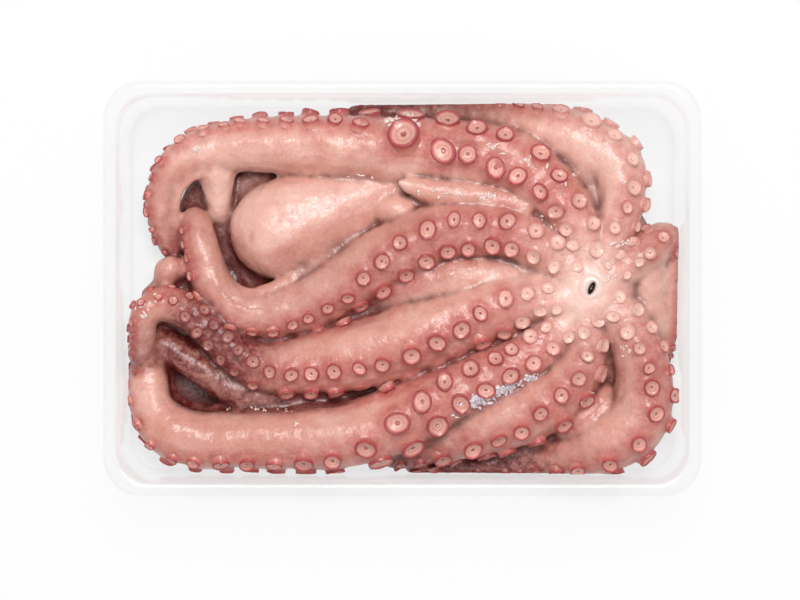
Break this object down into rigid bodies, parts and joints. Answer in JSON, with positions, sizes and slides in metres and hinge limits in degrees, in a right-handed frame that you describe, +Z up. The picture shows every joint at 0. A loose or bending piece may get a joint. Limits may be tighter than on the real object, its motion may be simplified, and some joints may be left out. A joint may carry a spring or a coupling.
{
  "type": "whole raw octopus in a clear tray",
  "caption": "Whole raw octopus packed mouth-up in a rectangular clear plastic tray, its arms folded along the walls and its head sac tucked between them.",
  "frame": {"origin": "centre of the tray's underside, on the surface it stands on", "axes": "+X along the tray's length, from the head sac towards the mouth; +Y across it, towards the long back arm; +Z up out of the open tray"},
  "size_m": [0.262, 0.182, 0.052],
  "materials": {
    "tray_plastic": "clear, thin thermoformed sheet, glossy",
    "octopus_flesh": "wet raw skin, pink with rose sucker rims, glossy"
  },
  "bodies": {
    "root": {"tray": "tray_plastic", "octopus": "octopus_flesh"}
  },
  "joints": []
}
